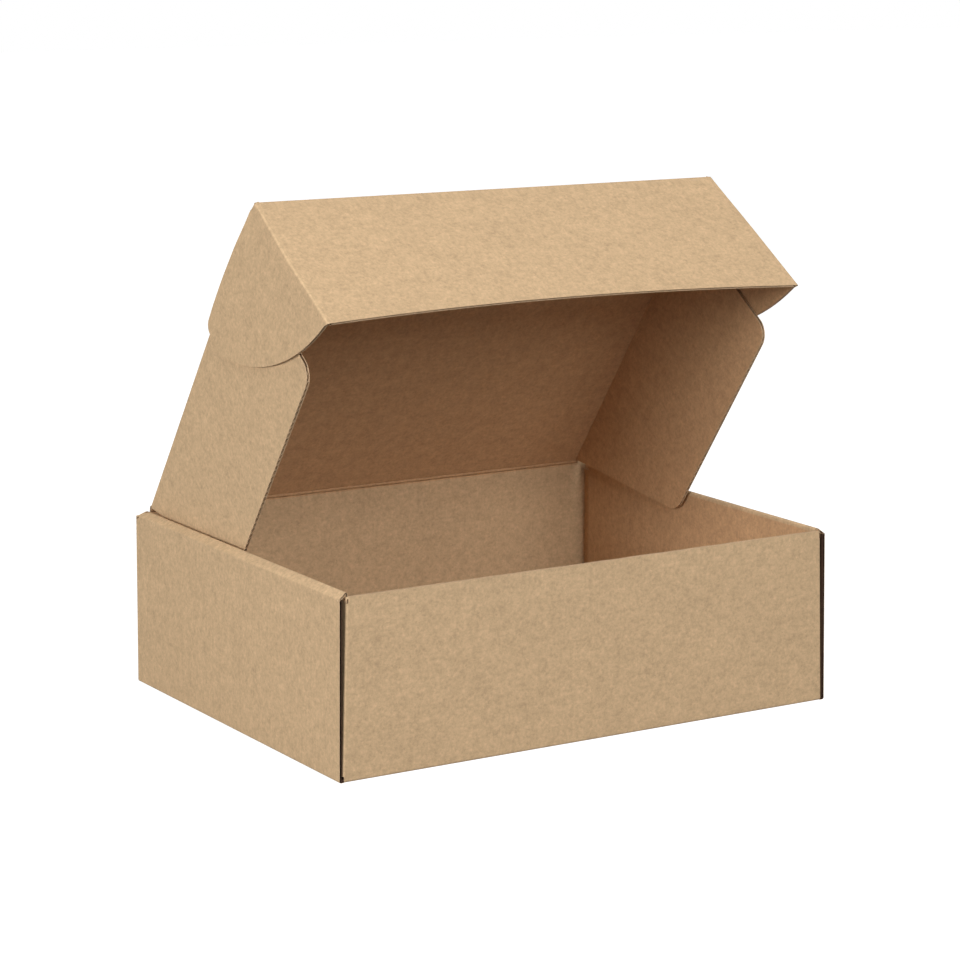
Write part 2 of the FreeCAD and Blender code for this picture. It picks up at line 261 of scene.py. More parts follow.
class Sheet:
    """A sheet of board as one layer of points on its outer face, each with the way that
    it looks, its place on the flat blank and its share of the board's thickness."""

    def __init__(self):
        self.places, self.outward, self.blank, self.share = [], [], [], []
        self.faces, self.looks = [], []
        self.index = {}

    def point(self, place, outward, blank, share=1.0):
        key = tuple(round(c, 3) for c in place)
        if key not in self.index:
            self.index[key] = len(self.places)
            self.places.append(Vector(place))
            self.outward.append(Vector(outward).normalized())
            self.blank.append(blank)
            self.share.append(share)
        return self.index[key]

    def patch(self, rows, keep=None, look=None):
        """rows holds lists of points. keep(i, j) can leave a cell out, and look(i, j)
        gives the finishes of a cell's outer and inner face."""
        grid = [[self.point(*p) for p in row] for row in rows]
        for i in range(len(grid) - 1):
            for j in range(len(grid[i]) - 1):
                if keep is not None and not keep(i, j):
                    continue
                loop = [grid[i][j], grid[i + 1][j], grid[i + 1][j + 1], grid[i][j + 1]]
                ring = [k for n, k in enumerate(loop) if k != loop[n - 1]]
                if len(ring) < 3:
                    continue
                a, b = self.places[ring[0]], self.places[ring[1]]
                normal = (b - a).cross(self.places[ring[-1]] - a)
                if normal.dot(self.outward[ring[0]]) < 0:
                    ring.reverse()
                self.faces.append(ring)
                # Painted shade: unless told otherwise, a cell's inner face takes the darker
                # inside finish.
                self.looks.append((OUTER, INNER_SHADE) if look is None else look(i, j))

    def edges(self):
        """The sheet's raw edges, as pairs of points with the sheet on their left."""
        seen = {}
        for face in self.faces:
            for a, b in zip(face, face[1:] + face[:1]):
                seen[(a, b)] = True
        return [(a, b) for a, b in seen if (b, a) not in seen]

    def inward(self, rim):
        """The way from each raw edge point into the sheet."""
        way = {}
        for a, b in rim:
            along = (self.places[b] - self.places[a]).normalized()
            for k in (a, b):
                way[k] = way.get(k, Vector()) + self.outward[k].cross(along)
        return {k: v.normalized() for k, v in way.items()}

    def solid(self, name, board, joins=None, gap=None):
        """Gives the sheet its thickness, with the liners proud of the recess between them at
        each raw edge. joins(place) marks edges that run on into another piece, and the gap mask
        marks places deep in a front corner's gap, where the inner faces and the cut edges
        inside the outer liner get painted shade."""
        thick = board.thickness
        lip = board.liner / thick
        rim = self.edges()
        count = len(self.places)
        verts = list(self.places)
        verts += [p - n * (thick * s)
                  for p, n, s in zip(self.places, self.outward, self.share)]
        uv, faces, slots = [], [], []
        flat = [(b[0] * MM, b[1] * MM) for b in self.blank]
        for face, look in zip(self.faces, self.looks):
            faces.append(list(face))
            faces.append([k + count for k in reversed(face)])
            uv.append([flat[k] for k in face])
            uv.append([flat[k] for k in reversed(face)])
            middle = sum((self.places[k] for k in face), Vector()) / len(face)
            # Painted shade: inner faces deep in a corner gap take the near-black gap finish.
            slots += [look[0], GAP_SHADE if gap is not None and gap(middle) else look[1]]
        levels = {}
        shares = (0, lip, lip, 1 - lip, 1 - lip, 1)
        for k, side in self.inward(rim).items():
            through = self.outward[k] * (-thick * self.share[k])
            ring = [k]
            for share, deep in zip(shares[1:5], (0, board.recess, board.recess, 0)):
                ring.append(len(verts))
                verts.append(self.places[k] + through * share + side * deep)
            ring.append(k + count)
            levels[k] = ring
        for a, b in rim:
            middle = (self.places[a] + self.places[b]) / 2
            if joins is not None and joins(middle):
                faces.append([a, a + count, b + count, b])
                uv.append([(flat[k][1], s) for k, s in ((a, 0), (a, 1), (b, 1), (b, 0))])
                slots.append(CUT)
                continue
            for i in range(5):
                faces.append([levels[a][i], levels[a][i + 1], levels[b][i + 1], levels[b][i]])
                uv.append([(flat[a][1], shares[i]), (flat[a][1], shares[i + 1]),
                           (flat[b][1], shares[i + 1]), (flat[b][1], shares[i])])
                # Painted shade: the cut edge inside the outer liner takes the near-black gap
                # finish there.
                slots.append(GAP_SHADE if i > 0 and gap is not None and gap(middle) else CUT)
        mesh = bpy.data.meshes.new(name)
        mesh.from_pydata([v * MM for v in verts], [], faces)
        mesh.uv_layers.new(name="Blank").data.foreach_set(
            "uv", [c for face in uv for pair in face for c in pair])
        mesh.polygons.foreach_set("material_index", slots)
        mesh.polygons.foreach_set("use_smooth", [s not in CUT_SLOTS for s in slots])
        for finish in FINISHES if gap is not None else FINISHES[:GAP_SHADE]:
            mesh.materials.append(material_of(finish))
        tidy_mesh(mesh)
        piece = bpy.data.objects.new(name, mesh)
        bpy.context.scene.collection.objects.link(piece)
        return piece

    def flute_edge(self, board, joins=None):
        """The raw edges that run across the flutes, for the tree that makes the flutes:
        (a, b) pairs and, for each point, its place, half height, way in and run."""
        thick = board.thickness
        reach = 0.5 - board.liner / thick - FLUTE_CLEAR
        rim = [(a, b) for a, b in self.edges()
               if joins is None or not joins((self.places[a] + self.places[b]) / 2)]
        way = self.inward(rim)
        pairs, points = [], {}
        for a, b in rim:
            length = (self.places[b] - self.places[a]).length
            if abs(self.blank[b][1] - self.blank[a][1]) < FLUTE_SLANT * length:
                continue
            pairs.append((a, b))
            for k in (a, b):
                through = self.outward[k] * (-thick * self.share[k])
                points[k] = (self.places[k] + through / 2 + way[k] * FLUTE_INSET,
                             through * reach, way[k] * (board.recess - FLUTE_INSET),
                             self.blank[k][1])
        return pairs, points


def tidy_mesh(mesh):
    """Takes out points that no face uses, and keeps the cut edges crisp."""
    work = bmesh.new()
    work.from_mesh(mesh)
    for edge in work.edges:
        edge.smooth = all(face.material_index not in CUT_SLOTS for face in edge.link_faces)
    bmesh.ops.delete(work, geom=[v for v in work.verts if not v.link_faces],
                     context="VERTS")
    work.to_mesh(mesh)
    work.free()


# Nodes


def new_group(name, kind, inputs, outputs):
    """A node group, from (name, socket, value) inputs and (name, socket) outputs."""
    group = bpy.data.node_groups.new(name, kind)
    for label, socket_kind, value in inputs:
        socket = group.interface.new_socket(label, in_out="INPUT",
                                            socket_type="NodeSocket" + socket_kind)
        if value is not None:
            socket.default_value = value
    for label, socket_kind in outputs:
        group.interface.new_socket(label, in_out="OUTPUT",
                                   socket_type="NodeSocket" + socket_kind)
    return group


def flute_tree():
    """Makes the wavy middle layer of the board between the liners of a cut edge."""
    if "Flutes at a cut edge" in bpy.data.node_groups:
        return bpy.data.node_groups["Flutes at a cut edge"]
    tree = new_group("Flutes at a cut edge", "GeometryNodeTree", [
        ("Edge", "Geometry", None), ("Pitch", "Float", 0.0032), ("Step", "Float", 0.0003),
        ("Paper", "Float", 0.00012), ("Material", "Material", None)],
        [("Flutes", "Geometry")])
    tree.is_modifier = True
    start = node(tree, "NodeGroupInput").outputs
    end = node(tree, "NodeGroupOutput")

    def named(name, kind):
        return node(tree, "GeometryNodeInputNamedAttribute", {"data_type": kind},
                    {"Name": name}).outputs["Attribute"]

    curve = node(tree, "GeometryNodeMeshToCurve", {}, {0: start["Edge"]}).outputs[0]
    fine = node(tree, "GeometryNodeResampleCurve", {"mode": "LENGTH"},
                {"Curve": curve, "Length": start["Step"]}).outputs[0]
    phase = maths(tree, "MULTIPLY", maths(tree, "DIVIDE", named("run", "FLOAT"),
                                          start["Pitch"]), 2 * math.pi)
    swing = node(tree, "ShaderNodeVectorMath", {"operation": "SCALE"}, {
        0: named("across", "FLOAT_VECTOR"), "Scale": maths(tree, "SINE", phase)}).outputs[0]
    waved = node(tree, "GeometryNodeSetPosition", {}, {
        "Geometry": fine, "Offset": swing}).outputs[0]
    line = node(tree, "GeometryNodeCurveToMesh", {}, {0: waved}).outputs[0]
    ribbon = node(tree, "GeometryNodeExtrudeMesh", {"mode": "EDGES"}, {
        "Mesh": line, "Offset": named("inward", "FLOAT_VECTOR"),
        "Offset Scale": 1.0}).outputs["Mesh"]
    front = node(tree, "GeometryNodeExtrudeMesh", {"mode": "FACES"}, {
        "Mesh": ribbon, "Offset Scale": start["Paper"], "Individual": False}).outputs["Mesh"]
    back = node(tree, "GeometryNodeFlipFaces", {}, {0: ribbon}).outputs[0]
    both = node(tree, "GeometryNodeJoinGeometry")
    tree.links.new(front, both.inputs[0])
    tree.links.new(back, both.inputs[0])
    merged = node(tree, "GeometryNodeMergeByDistance", {}, {
        "Geometry": both.outputs[0], "Distance": 0.00001}).outputs[0]
    real = node(tree, "GeometryNodeRealizeInstances", {}, {0: merged}).outputs[0]
    finish = node(tree, "GeometryNodeSetMaterial", {}, {
        "Geometry": real, "Material": start["Material"]}).outputs[0]
    tree.links.new(finish, end.inputs[0])
    return tree


def make_flutes(name, board, pairs, points):
    """A mesh of the flutes that show at the given raw edges."""
    verts, across, inward, run, index = [], [], [], [], {}
    for k, (place, half, way, at) in points.items():
        index[k] = len(verts)
        verts.append(place * MM)
        across += list(half * MM)
        inward += list(way * MM)
        run.append(at * MM)
    mesh = bpy.data.meshes.new(name)
    mesh.from_pydata(verts, [(index[a], index[b]) for a, b in pairs], [])
    for label, kind, values in (("across", "FLOAT_VECTOR", across),
                                ("inward", "FLOAT_VECTOR", inward), ("run", "FLOAT", run)):
        mesh.attributes.new(label, kind, "POINT").data.foreach_set(
            "value" if kind == "FLOAT" else "vector", values)
    piece = bpy.data.objects.new(name, mesh)
    bpy.context.scene.collection.objects.link(piece)
    tree = flute_tree()
    ids = {s.name: s.identifier for s in tree.interface.items_tree}
    modifier = piece.modifiers.new("Flutes", "NODES")
    modifier.node_group = tree
    modifier[ids["Pitch"]] = board.flute_pitch * MM
    modifier[ids["Material"]] = material_of("Flute paper")
    bpy.context.view_layer.update()
    evaluated = piece.evaluated_get(bpy.context.evaluated_depsgraph_get())
    result = bpy.data.meshes.new_from_object(evaluated)
    piece.modifiers.remove(modifier)
    piece.data = result
    result.name = name
    work = bmesh.new()
    work.from_mesh(result)
    bmesh.ops.recalc_face_normals(work, faces=work.faces)
    work.to_mesh(result)
    work.free()
    return piece


# Shaders


def node(tree, kind, settings=None, inputs=None):
    made = tree.nodes.new(kind)
    for key, value in (settings or {}).items():
        setattr(made, key, value)
    for key, value in (inputs or {}).items():
        if isinstance(value, bpy.types.NodeSocket):
            tree.links.new(value, made.inputs[key])
        else:
            made.inputs[key].default_value = value
    return made


def maths(tree, operation, a, b=0.0, c=0.0):
    made = tree.nodes.new("ShaderNodeMath")
    made.operation = operation
    for i, value in enumerate((a, b, c)):
        if isinstance(value, bpy.types.NodeSocket):
            tree.links.new(value, made.inputs[i])
        else:
            made.inputs[i].default_value = value
    return made.outputs[0]


def mix_colour(tree, factor, a, b):
    made = tree.nodes.new("ShaderNodeMix")
    made.data_type = "RGBA"
    for key, value in ((0, factor), (6, a), (7, b)):
        if isinstance(value, bpy.types.NodeSocket):
            tree.links.new(value, made.inputs[key])
        else:
            made.inputs[key].default_value = (*value, 1.0) if key else value
    return made.outputs[2]


def ramp(tree, value, low, high):
    """0 below low, 1 above high, smooth between them."""
    return node(tree, "ShaderNodeMapRange", {"interpolation_type": "SMOOTHSTEP"},
                {"Value": value, "From Min": low, "From Max": high}).outputs["Result"]


def noise_of(tree, place, scale, detail=2.0, roughness=0.6, distortion=0.0):
    """Noise round 0, at a scale in features per millimetre."""
    made = node(tree, "ShaderNodeTexNoise", {}, {
        "Vector": place, "Scale": scale, "Detail": detail, "Roughness": roughness,
        "Distortion": distortion}).outputs["Fac"]
    return maths(tree, "SUBTRACT", made, 0.5)


def kraft_fibre_group():
    """Kraft paper's cloudy shade and its light and dark fibres, from a place in metres."""
    if "Kraft fibres" in bpy.data.node_groups:
        return bpy.data.node_groups["Kraft fibres"]
    tree = new_group("Kraft fibres", "ShaderNodeTree", [
        ("Place", "Vector", None), ("Paper", "Color", (0.57, 0.4, 0.24, 1)),
        ("Fibre", "Color", (0.3, 0.18, 0.09, 1))],
        [("Color", "Color"), ("Height", "Float")])
    start = node(tree, "NodeGroupInput").outputs
    end = node(tree, "NodeGroupOutput")
    place = node(tree, "ShaderNodeVectorMath", {"operation": "SCALE"},
                 {0: start["Place"], "Scale": 1000.0}).outputs[0]
    # uneven pulp: clouds of 1 to 4 cm, blotches of some millimetres, then single flocs
    clouds = noise_of(tree, place, 0.05, 2.0, 0.7)
    blotch = noise_of(tree, place, 0.21, 2.0, 0.85)
    flocs = noise_of(tree, place, 0.62, 3.0, 0.8)
    shade = maths(tree, "MULTIPLY", clouds, 0.18)
    shade = maths(tree, "MULTIPLY_ADD", blotch, 0.54, shade)
    shade = maths(tree, "MULTIPLY_ADD", flocs, 0.70, shade)
    shade = maths(tree, "ADD", shade, 1.0)
    tone = node(tree, "ShaderNodeVectorMath", {"operation": "SCALE"},
                {0: start["Paper"], "Scale": shade}).outputs[0]

    def fibres(move, stretch, scale, low, high):
        lay = node(tree, "ShaderNodeMapping", {}, {
            "Vector": place, "Location": move, "Rotation": (0, 0, 0.35),
            "Scale": stretch}).outputs[0]
        return ramp(tree, noise_of(tree, lay, scale, 2.0, 0.55, 0.6), low, high)

    dark = maths(tree, "MAXIMUM", fibres((0, 0, 0), (1.5, 0.45, 1), 1.25, 0.12, 0.27),
                 fibres((71, 13, 3), (0.5, 1.3, 1), 1.1, 0.14, 0.3))
    pale = maths(tree, "MAXIMUM", fibres((31, 17, 5), (0.45, 1.4, 1), 1.35, 0.12, 0.28),
                 fibres((9, 57, 8), (1.2, 0.6, 1), 1.6, 0.14, 0.3))
    speck = ramp(tree, noise_of(tree, place, 0.55, 1.0, 0.5), 0.23, 0.3)
    dark = maths(tree, "MULTIPLY_ADD", speck, 0.22, maths(tree, "MULTIPLY", dark, 0.27))
    pale = maths(tree, "MULTIPLY", pale, 0.5)
    lighter = node(tree, "ShaderNodeVectorMath", {"operation": "SCALE"},
                   {0: start["Paper"], "Scale": 1.35}).outputs[0]
    colour = mix_colour(tree, dark, tone, start["Fibre"])
    colour = mix_colour(tree, pale, colour, lighter)
    height = maths(tree, "SUBTRACT", maths(tree, "ADD", flocs, pale), dark)
    tree.links.new(colour, end.inputs["Color"])
    tree.links.new(height, end.inputs["Height"])
    return tree


def material_of(name):
    """The board's finishes, each made once."""
    if name in bpy.data.materials:
        return bpy.data.materials[name]
    finish = bpy.context.scene.mailer_finish
    board = bpy.context.scene.mailer_board
    made = bpy.data.materials.new(name)
    made.use_nodes = True
    tree = made.node_tree
    shader = tree.nodes["Principled BSDF"]
    shader.inputs["Roughness"].default_value = finish.roughness
    shader.inputs["Specular IOR Level"].default_value = 0.25
    fibres = node(tree, "ShaderNodeGroup", {"node_tree": kraft_fibre_group()})
    fibres.inputs["Fibre"].default_value = (*finish.fibre_dark, 1)
    paper = {"Kraft board": finish.paper, "Kraft board inside, painted shade": finish.inside,
             "Painted shade in corner gap": finish.gap}.get(name, finish.cut)
    fibres.inputs["Paper"].default_value = (*paper, 1)
    if name.startswith("Kraft board"):
        uv = node(tree, "ShaderNodeUVMap", {"uv_map": "Blank"}).outputs[0]
        across = node(tree, "ShaderNodeSeparateXYZ", {}, {0: uv}).outputs[1]
        tree.links.new(uv, fibres.inputs["Place"])
        # the liner dips a little between the flutes, more in some places than in others
        wave = maths(tree, "SINE", maths(tree, "MULTIPLY", across,
                                         2 * math.pi / board.flute_pitch))
        drawn = node(tree, "ShaderNodeMapping", {}, {
            "Vector": uv, "Scale": (14.0, 90.0, 1.0)}).outputs[0]
        uneven = node(tree, "ShaderNodeTexNoise", {}, {
            "Vector": drawn, "Scale": 1.0, "Detail": 2.0}).outputs["Fac"]
        wave = maths(tree, "MULTIPLY", wave, ramp(tree, uneven, 0.35, 0.75))
        ribs = node(tree, "ShaderNodeBump", {}, {
            "Strength": 0.3, "Distance": 0.00003, "Height": wave}).outputs[0]
        tooth = node(tree, "ShaderNodeBump", {}, {
            "Strength": 0.5, "Distance": 0.0001, "Height": fibres.outputs["Height"],
            "Normal": ribs}).outputs[0]
        # Painted shade: the colour darkens a little in the dips between the flutes and lightens
        # on their ridges.
        flute_shade = maths(tree, "MULTIPLY_ADD", wave, 0.014, 1.0)
        colour = node(tree, "ShaderNodeVectorMath", {"operation": "SCALE"},
                      {0: fibres.outputs["Color"], "Scale": flute_shade}).outputs[0]
        tree.links.new(colour, shader.inputs["Base Color"])
        tree.links.new(tooth, shader.inputs["Normal"])
    else:
        place = node(tree, "ShaderNodeTexCoord").outputs["Object"]
        tree.links.new(place, fibres.inputs["Place"])
        colour = fibres.outputs["Color"]
        if name == "Cut board edge":
            uv = node(tree, "ShaderNodeUVMap", {"uv_map": "Blank"}).outputs[0]
            depth = node(tree, "ShaderNodeSeparateXYZ", {}, {0: uv}).outputs[1]
            lip = board.liner / board.thickness
            off = maths(tree, "ABSOLUTE", maths(tree, "SUBTRACT", depth, 0.5))
            liner = ramp(tree, off, 0.5 - lip - 0.03, 0.5 - lip + 0.01)
            # Painted shade: between the two liners the cut edge is coloured dark, for the shade
            # inside the flutes.
            colour = mix_colour(tree, liner, finish.hollow_shade[:], colour)
        tree.links.new(colour, shader.inputs["Base Color"])
    return made


# Pieces


def finish_piece(piece, body, *nodes):
    """Says what the piece rides on, when it has a body, and what it stands for."""
    if body:
        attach(piece, body)
    if nodes:
        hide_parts(*nodes)


# The tray's finer measures in millimetres: where the tabs and their slots stand, the gap
# between two layers, the dust flaps' foot and top, the rear wall up to its crease and, at
# its right end, past it, and where the end walls start to taper
TAB_PLACE, TAB_HALF, SLOT_HALF = 46.0, 16.0, 16.3
LAYER_GAP = 0.3
FLAP_LOW, FLAP_HIGH = 2.6, 76.0
REAR_LOW, REAR_PAST = 78.4, [79.5, 80.6]
TAPER_START = 118.0
# Share of the thickness left where a side wall's end is crushed, nicks along the front
# wall's top edge, and how deep each cuts
CRUSHED = 0.7
NICKS, NICK_REACH, NICK_DEPTH = (-12, -5.4, 10, 35, 49.3, 68), 3.0, 0.0875


class MAILER_OT_tray(bpy.types.Operator):
    """Fold the tray: floor, front and rear walls, dust flaps and rolled-over side walls"""
    bl_idname = "mailer.tray"
    bl_label = "Tray"

    def execute(self, context):
        board = in_mm(context.scene.mailer_board)
        size = in_mm(context.scene.mailer_tray)
        lid_half = in_mm(context.scene.mailer_lid).half_width
        thick, step, radius, over = (board.thickness, board.mesh_step, board.fold,
                                     size.rollover)
        half_x, half_y = size.length / 2, size.depth / 2
        fold_y = half_y - radius
        wall, end = half_x - 2.2, half_y - 0.2
        sheet = Sheet()

        # floor
        stops = [-end, -fold_y, -fold_y + board.press, -90, -TAB_PLACE - SLOT_HALF,
                 -TAB_PLACE - TAB_HALF, -TAB_PLACE + TAB_HALF, -TAB_PLACE + SLOT_HALF]
        ys = spans(stops + [-y for y in reversed(stops)], step)
        groove = (half_x - over - LAYER_GAP, half_x - over + thick + LAYER_GAP)
        xs = spans([0, *groove, half_x - 3.2, half_x - 2.6, wall], step)
        xs = sorted([-x for x in xs[1:]] + xs + [-lid_half - 0.2, lid_half + 0.2])
        floor_ys = [y for y in ys if abs(y) <= fold_y + 1e-6]

        def in_slot(x, y):
            return groove[0] < abs(x) < groove[1] and abs(abs(y) - TAB_PLACE) < SLOT_HALF

        rows = [[((x, y, 0), (0, 0, -1), (x, y),
                  board.pressed if abs(y) > fold_y - 0.01 else 1.0)
                 for x in xs] for y in floor_ys]
        sheet.patch(rows, lambda i, j: not in_slot(
            (xs[j] + xs[j + 1]) / 2, (floor_ys[i] + floor_ys[i + 1]) / 2))

        # side walls: up, over the two creases and down again inside
        def side_path(side, y):
            share = (y + half_y) / (2 * half_y)
            high = size.crease_front + (size.crease_rear - size.crease_front) * share
            inner = size.inner_front + (size.inner_rear - size.inner_front) * share
            lean = size.lean_left if side < 0 else size.lean_right
            inset = over + (LAYER_GAP if side > 0 else 0.0)
            corners = [(half_x - wall, 0), (0, 0), (lean, high), (inset, inner),
                       (inset, thick + LAYER_GAP)]
            return fold_path(corners, (1, 13, 2, 13), radius, board.press, board.pressed)

        strip = [k for k, p in enumerate(side_path(1, 0)) if p[3] > 79.0 and p[0][1] > 77.0]

        def drawn_in(y, share, side):
            """The strip's ends run in from the outer crease to the inner one."""
            front, rear, front_stop = fold_y - 5, 78.0, 94.1
            rear_stop = 90.6 if side < 0 else 87.5
            if y < -front:
                return y + (end - front_stop) * share * (-front - y) / (end - front)
            if y > rear:
                return y - (end - rear_stop) * share * (y - rear) / (end - rear)
            return y

        for side in (-1, 1):
            columns = []
            for y in ys:
                column = []
                for k, (p, look, share, length) in enumerate(side_path(side, y)):
                    past = share_of((k - strip[0]) / 12)
                    if abs(y) > fold_y + 0.01:
                        share *= CRUSHED
                    column.append((((half_x - p.x) * side, drawn_in(y, past, side), p.y),
                                   (-look.x * side, 0, look.y),
                                   ((wall + length) * side, y), share))
                columns.append(column)
            # Painted shade: past the inner crease the rolled-over panel, though it is the outer
            # liner, takes the darker inside finish.
            sheet.patch(columns, None, lambda i, j: (INNER_SHADE if j >= strip[-1] else OUTER,
                                                     INNER_SHADE))
            tabs = [[((x, y_now, high), (-side, 0, 0), (blank + past_end * side, y))
                     for y, (x, y_now, blank) in zip(ys, [
                         (c[-1][0][0], c[-1][0][1], c[-1][2][0]) for c in columns])]
                    for high, past_end in ((thick + LAYER_GAP, 0.0), (LAYER_GAP, 1.5))]
            sheet.patch(tabs, lambda i, j: abs(
                abs((ys[j] + ys[j + 1]) / 2) - TAB_PLACE) < TAB_HALF)

        # front and rear walls, and the dust flaps folded back from their ends
        for face in (-1, 1):
            high = size.front_height if face < 0 else REAR_LOW
            corner = half_x - 2.6 if face < 0 else half_x - 3.2
            zs = spans([FLAP_LOW, FLAP_HIGH, high], step) + (REAR_PAST if face > 0 else [])

            def wall_end(z):
                if face > 0:
                    return wall
                share = share_of(z / high)
                return size.end_low + (size.end_high - size.end_low) * share

            def wall_x(x, z):
                if abs(x) <= TAPER_START:
                    return x
                return math.copysign(1, x) * (
                    TAPER_START + (abs(x) - TAPER_START)
                    * (wall_end(z) - radius - TAPER_START) / (corner - TAPER_START))

            def wall_z(x, z):
                """The front wall's top edge rises a little to the right."""
                if face > 0 or z <= FLAP_HIGH:
                    return z
                return z + 0.3 * x / half_x * (z - FLAP_HIGH) / (high - FLAP_HIGH)

            foot = fold_path([(-fold_y + 2, 0), (-half_y, 0), (-half_y, FLAP_LOW)], (1, 1),
                             radius, 0.01, board.pressed)
            foot = [p for p in foot if p[0].x <= -fold_y + 0.001]
            rows = [[((x, -p.x * face, p.y), (0, -look.x * face, look.y),
                      (x, (fold_y - 2 + length) * face), share) for x in xs]
                    for p, look, share, length in foot]
            rows[-1] = [((x, half_y * face, FLAP_LOW), (0, face, 0),
                         (x, (half_y + FLAP_LOW) * face), 1.0) for x in xs]
            sheet.patch(rows)

            flat = [x for x in xs if abs(x) <= corner + 1e-6]
            rows = [[((wall_x(x, z), half_y * face, wall_z(x, z)), (0, face, 0),
                      (x, (half_y + z) * face), 1.0) for x in flat] for z in zs]
            # Painted shade: the front wall's inside takes the darker inside finish, while the
            # lit rear wall's inside keeps the outer paper.
            sheet.patch(rows, lambda i, j: zs[i] < high - 0.01 or (
                flat[j] + flat[j + 1]) / 2 > lid_half + 0.2,
                lambda i, j: (OUTER, INNER_SHADE if face < 0 else OUTER))

            for side in (-1, 1):
                rows, flaps = [], []
                for z in zs:
                    if z > high + 0.01 and side < 0:
                        continue
                    top = wall_z(corner * side, z)
                    edge = wall_end(z)
                    row = []
                    for k in range(7):
                        a = deg(90 - 15 * k)
                        place = ((edge - radius + radius * math.cos(a)) * side,
                                 (half_y - radius + radius * math.sin(a)) * face, top)
                        if k == 0:
                            place = (wall_x(corner * side, z), half_y * face, top)
                        row.append((place, (math.cos(a) * side, math.sin(a) * face, 0),
                                    ((corner + 0.26 * k) * side, (half_y + z) * face),
                                    1.0 if k == 0 else board.pressed))
                    rows.append(row)
                    if z > FLAP_HIGH + 1e-6:
                        continue
                    settled = wall - 0.15 - (0.8 if side < 0 else 1.3) * z / high
                    line = []
                    for y in spans([fold_y, fold_y - board.press, fold_y - 7,
                                    half_y - size.dust_flap], step):
                        x = edge + (settled - edge) * eased(share_of((fold_y - y) / 7))
                        line.append(((x * side, y * face, top), (side, 0, 0),
                                     ((corner + 1.6 + fold_y - y) * side,
                                      (half_y + z) * face),
                                     board.pressed if y == fold_y else 1.0))
                    flaps.append(line)
                sheet.patch(rows)
                sheet.patch(flaps)

        # small nicks where the front wall's edge was cut from the next blank
        for place in sheet.places:
            if abs(place.y + half_y) < 0.01 and place.z > size.front_height - 0.6:
                near = sum(abs(place.x - n) < NICK_REACH for n in NICKS)
                place.z -= NICK_DEPTH * near + 0.06 * math.sin(place.x * 1.7) ** 2

        def joins(p):
            return abs(p.z - REAR_LOW) < 0.01 and p.y > 0 and abs(p.x) < lid_half + 0.3

        # Painted shade: marks the side walls' ends and inner faces deep in the front corners'
        # gaps.
        def in_gap_shade(p):
            return p.y < -end + 4 and abs(p.x) > wall - 2 and p.z < size.crease_front
        piece = sheet.solid("tray_board", board, joins, in_gap_shade)
        finish_piece(piece, "tray", "tray")
        return {"FINISHED"}


def measures(context):
    """The board's and the lid's sizes in millimetres."""
    return in_mm(context.scene.mailer_board), in_mm(context.scene.mailer_lid)


def lid_frame(context):
    """Turns places on the lid, or on its tuck flap, into places in the row's frame."""
    size = in_mm(context.scene.mailer_lid)
    hinge = Vector(hinge_of("lid_hinge")["pos_m"]) / MM
    angle = size.opening
    along = Vector((0, -math.cos(angle), math.sin(angle)))
    below = Vector((0, -math.sin(angle), -math.cos(angle)))
    turn = angle + size.tuck_lean
    down = Vector((0, -math.sin(turn), -math.cos(turn)))
    back = Vector((0, math.cos(turn), -math.sin(turn)))
    front = hinge + along * size.reach

    def on_lid(x, s, n):
        return hinge + along * s + below * n + Vector((x, 0, 0))

    def on_tuck(x, drop, m):
        return front + down * drop + back * m + Vector((x, 0, 0))
    return on_lid, on_tuck, along, below, down, back


def corner_in(size, side, s, n):
    """How far in the board sits near a front corner of the lid."""
    pull = size.corner_left if side < 0 else size.corner_right
    run, drop = 26, 42
    near = share_of((s - size.reach + run) / run) * share_of((drop - n) / drop)
    return pull * eased(near)


# Where the lid starts on the flat blank, where the lid's and the tuck flap's flat boards
# start, from their hinges, and how far the ears stand outside the lid's sides
BLANK_LID = 176.0
LID_START, TUCK_START = 1.3, 3.0
EAR_OFF = 1.8


class MAILER_OT_lid(bpy.types.Operator):
    """Make the lid panel"""
    bl_idname = "mailer.lid"
    bl_label = "Lid panel"

    def execute(self, context):
        board, size = measures(context)
        face = -board.thickness / 2
        on_lid, _, along, below, _, _ = lid_frame(context)
        half = size.half_width
        crease = half - board.fold - board.press
        ends = LID_START, size.reach - TUCK_START
        ss = spans([ends[0], size.wing_top, size.wing_front, ends[1]], board.mesh_step)
        xs = spans([-half, -crease, crease, half], board.mesh_step)
        straight = 60
        sheet = Sheet()

        def width(x, s):
            side = math.copysign(1, x)
            outer = max(abs(x) - straight, 0) / (half - straight)
            return x - side * corner_in(size, side, s, 0) * outer

        rows = [[(on_lid(width(x, s), s, face), -below, (x, BLANK_LID + s)) for x in xs]
                for s in ss]
        sheet.patch(rows, lambda i, j: abs((xs[j] + xs[j + 1]) / 2) < crease or not (
            size.wing_top < (ss[i] + ss[i + 1]) / 2 < size.wing_front))
        start = on_lid(0, ends[0], 0)
        front = on_lid(0, ends[1], 0)

        def joins(p):
            return (abs((p - start).dot(along)) < 0.01 or abs((p - front).dot(along)) < 0.01
                    or abs(abs(p.x) - crease) < 0.01)
        piece = sheet.solid("lid_board", board, joins)
        finish_piece(piece, "lid", "lid_panel")
        flutes = make_flutes("lid_flutes", board, *sheet.flute_edge(board, joins))
        finish_piece(flutes, "lid", "lid_panel")
        return {"FINISHED"}


